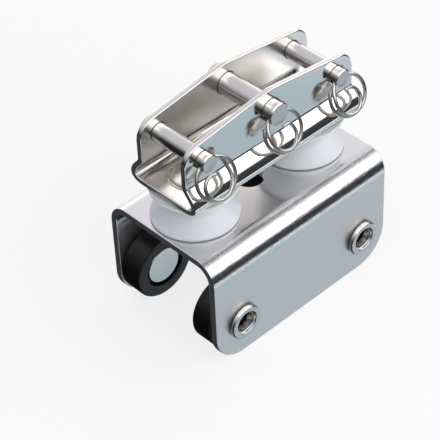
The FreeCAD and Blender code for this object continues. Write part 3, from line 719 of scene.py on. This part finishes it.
# Camera at the photograph's angle, with a lens in millimetres
AZIMUTH, ELEVATION, ROLL = math.radians(-42.19), math.radians(41.31), math.radians(-2.81)
TARGET = Vector((-10.72 * MM, 0, 14.99 * MM))
DISTANCE = 457.4 * MM
LENS, SENSOR_WIDTH = 146.28, 36
back = Vector((math.sin(AZIMUTH) * math.cos(ELEVATION), -math.cos(AZIMUTH) * math.cos(ELEVATION),
               math.sin(ELEVATION)))
right = Vector((0, 0, 1)).cross(back).normalized()
up = back.cross(right)
rolled_right = right * math.cos(ROLL) + up * math.sin(ROLL)
rolled_up = up * math.cos(ROLL) - right * math.sin(ROLL)
camera = bpy.data.objects.new("camera", bpy.data.cameras.new("camera"))
bpy.context.scene.collection.objects.link(camera)
camera.matrix_world = Matrix((
    (rolled_right.x, rolled_up.x, back.x, TARGET.x + back.x * DISTANCE),
    (rolled_right.y, rolled_up.y, back.y, TARGET.y + back.y * DISTANCE),
    (rolled_right.z, rolled_up.z, back.z, TARGET.z + back.z * DISTANCE),
    (0, 0, 0, 1)))
camera.data.lens = LENS
camera.data.sensor_width = SENSOR_WIDTH
camera.data.clip_start, camera.data.clip_end = 0.01, 20
bpy.context.scene.camera = camera

# Studio, in metres
FLOOR_HEIGHT, FLOOR_SIZE = cad_box[0].z, 6
# How much of the floor that the camera sees is its own white, against the shadow on it
FLOOR_GLOW = 0.8
ROOM_STRENGTH = 0.98


def make_floor():
    """A pale table that keeps the shadow. Metal looks through it at the room's lower part."""
    deselect()
    bpy.ops.mesh.primitive_plane_add(size=FLOOR_SIZE, location=(0, 0, FLOOR_HEIGHT))
    floor = bpy.context.object
    floor.name = "floor"
    material, tree = new_material("pale_table")
    path = add_node(tree, "ShaderNodeLightPath")
    plain = add_node(tree, "ShaderNodeBsdfDiffuse")
    plain.inputs["Color"].default_value = linear("#F4F4F4")
    glow = add_node(tree, "ShaderNodeEmission")
    seen = add_node(tree, "ShaderNodeMixShader", {1: plain.outputs[0], 2: glow.outputs[0]},
                    n0=FLOOR_GLOW)
    by_camera = add_node(tree, "ShaderNodeMixShader", {0: path.outputs["Is Camera Ray"],
                                                       1: plain.outputs[0], 2: seen.outputs[0]})
    clear = add_node(tree, "ShaderNodeBsdfTransparent")
    whole = add_node(tree, "ShaderNodeMixShader", {0: path.outputs["Is Glossy Ray"],
                                                   1: by_camera.outputs[0], 2: clear.outputs[0]})
    finish_material(tree, whole)
    floor.data.materials.append(material)


def fill_ramp(ramp, stops):
    """Set a ramp's colours at places from -1 to 1."""
    elements = ramp.color_ramp.elements
    while len(elements) < len(stops):
        elements.new(1.0)
    for element, (place, colour) in zip(elements, stops):
        element.position = (place + 1) / 2
        element.color = linear(colour)


def make_world():
    """The room round the part, by direction: dim at the left, bright behind, a window in front."""
    world = bpy.data.worlds.new("studio")
    bpy.context.scene.world = world
    world.use_nodes = True
    tree = world.node_tree
    tree.nodes.clear()
    path = add_node(tree, "ShaderNodeLightPath")
    place = add_node(tree, "ShaderNodeTexCoord")
    split = add_node(tree, "ShaderNodeSeparateXYZ", {"Vector": place.outputs["Generated"]})
    level = add_node(tree, "ShaderNodeMapRange", {"Value": split.outputs["Z"]}, n1=-1.0, n2=1.0)

    def wall(stops):
        """Colours from straight down, -1, to straight up, 1."""
        ramp = add_node(tree, "ShaderNodeValToRGB", {"Fac": level.outputs[0]})
        fill_ramp(ramp, stops)
        return ramp

    def towards(x, y, start, full, first, second):
        """The first colour, and the second towards a level direction."""
        facing = add_node(tree, "ShaderNodeVectorMath", {0: place.outputs["Generated"]},
                          {"operation": "DOT_PRODUCT"}, n1=(x, y, 0))
        share = add_node(tree, "ShaderNodeMapRange", {"Value": facing.outputs["Value"]},
                         {"interpolation_type": "SMOOTHSTEP"}, n1=start, n2=full)
        return add_node(tree, "ShaderNodeMix",
                        {0: share.outputs[0], 6: first, 7: second.outputs["Color"]},
                        {"data_type": "RGBA"}).outputs[2]

    left = wall(((-1.0, "#2A2B2D"), (-0.66, "#141416"), (-0.25, "#1E1F21"), (0.0, "#28292C"),
                 (0.12, "#55565A"), (0.42, "#B2B2B7"), (0.66, "#DCDBE1"), (1.0, "#DAD9E0")))
    behind = wall(((-1.0, "#B8BCC0"), (-0.6, "#E0E3E6"), (-0.15, "#FFFFFF"), (0.45, "#FFFFFF"),
                   (0.62, "#ECEBF1"), (0.8, "#DCDBE2"), (1.0, "#DAD9E0")))
    window = wall(((-1.0, "#A6B7C2"), (-0.59, "#B2C4CF"), (-0.575, "#FFFFFF"), (-0.46, "#FFFFFF"),
                   (-0.43, "#363A40"), (0.2, "#3C4047"), (0.27, "#FFFFFF"), (0.76, "#FFFFFF"),
                   (0.80, "#DAD9E0"), (1.0, "#DAD9E0")))
    around = towards(0.82, 0.57, 0.35, 0.75, left.outputs["Color"], behind)
    around = towards(0.58, -0.81, 0.1, 0.3, around, window)
    # The frame over the window, a dark bar with grey cloth below it
    depth = add_node(tree, "ShaderNodeMapRange", {"Value": split.outputs["Y"]}, n1=-1.0, n2=1.0)
    frame_bar = add_node(tree, "ShaderNodeValToRGB", {"Fac": depth.outputs[0]})
    fill_ramp(frame_bar, (
        (-1.0, "#FFFFFF"), (-0.41, "#FFFFFF"), (-0.38, "#D8D8DA"), (-0.30, "#F4F4F6"),
        (-0.20, "#CFCFD2"), (-0.13, "#E0E0E2"), (-0.11, "#3C3D40"), (-0.02, "#3C3D40"),
        (0.01, "#FFFFFF"), (1.0, "#FFFFFF")))
    overhead = add_node(tree, "ShaderNodeMapRange", {"Value": split.outputs["Z"]}, n1=0.68, n2=0.74)
    around = add_node(tree, "ShaderNodeMix",
                      {0: overhead.outputs[0], 6: around, 7: frame_bar.outputs["Color"]},
                      {"data_type": "RGBA", "blend_type": "MULTIPLY"}).outputs[2]
    walls = add_node(tree, "ShaderNodeBackground", {"Color": around}, Strength=ROOM_STRENGTH)
    white = add_node(tree, "ShaderNodeBackground")
    white.inputs["Color"].default_value = (1, 1, 1, 1)
    seen = add_node(tree, "ShaderNodeMixShader", {0: path.outputs["Is Camera Ray"],
                                                  1: walls.outputs[0], 2: white.outputs[0]})
    output = add_node(tree, "ShaderNodeOutputWorld")
    tree.links.new(seen.outputs[0], output.inputs["Surface"])


def softbox(name, low, high, height, radiance):
    """A level rectangular lamp over the object, between two corners in metres."""
    lamp = bpy.data.lights.new(name, "AREA")
    lamp.shape = "RECTANGLE"
    lamp.size, lamp.size_y = high[0] - low[0], high[1] - low[1]
    lamp.energy = radiance * lamp.size * lamp.size_y * math.pi
    holder = bpy.data.objects.new(name, lamp)
    bpy.context.scene.collection.objects.link(holder)
    holder.location = ((low[0] + high[0]) / 2, (low[1] + high[1]) / 2, height)


make_floor()
make_world()
softbox("window_light", (-0.30, -1.20), (0.95, -0.23), 0.42, 1.15)
softbox("back_light", (0.25, 0.28), (0.75, 0.85), 0.2, 1.2)
bpy.context.scene.view_settings.view_transform = "Standard"
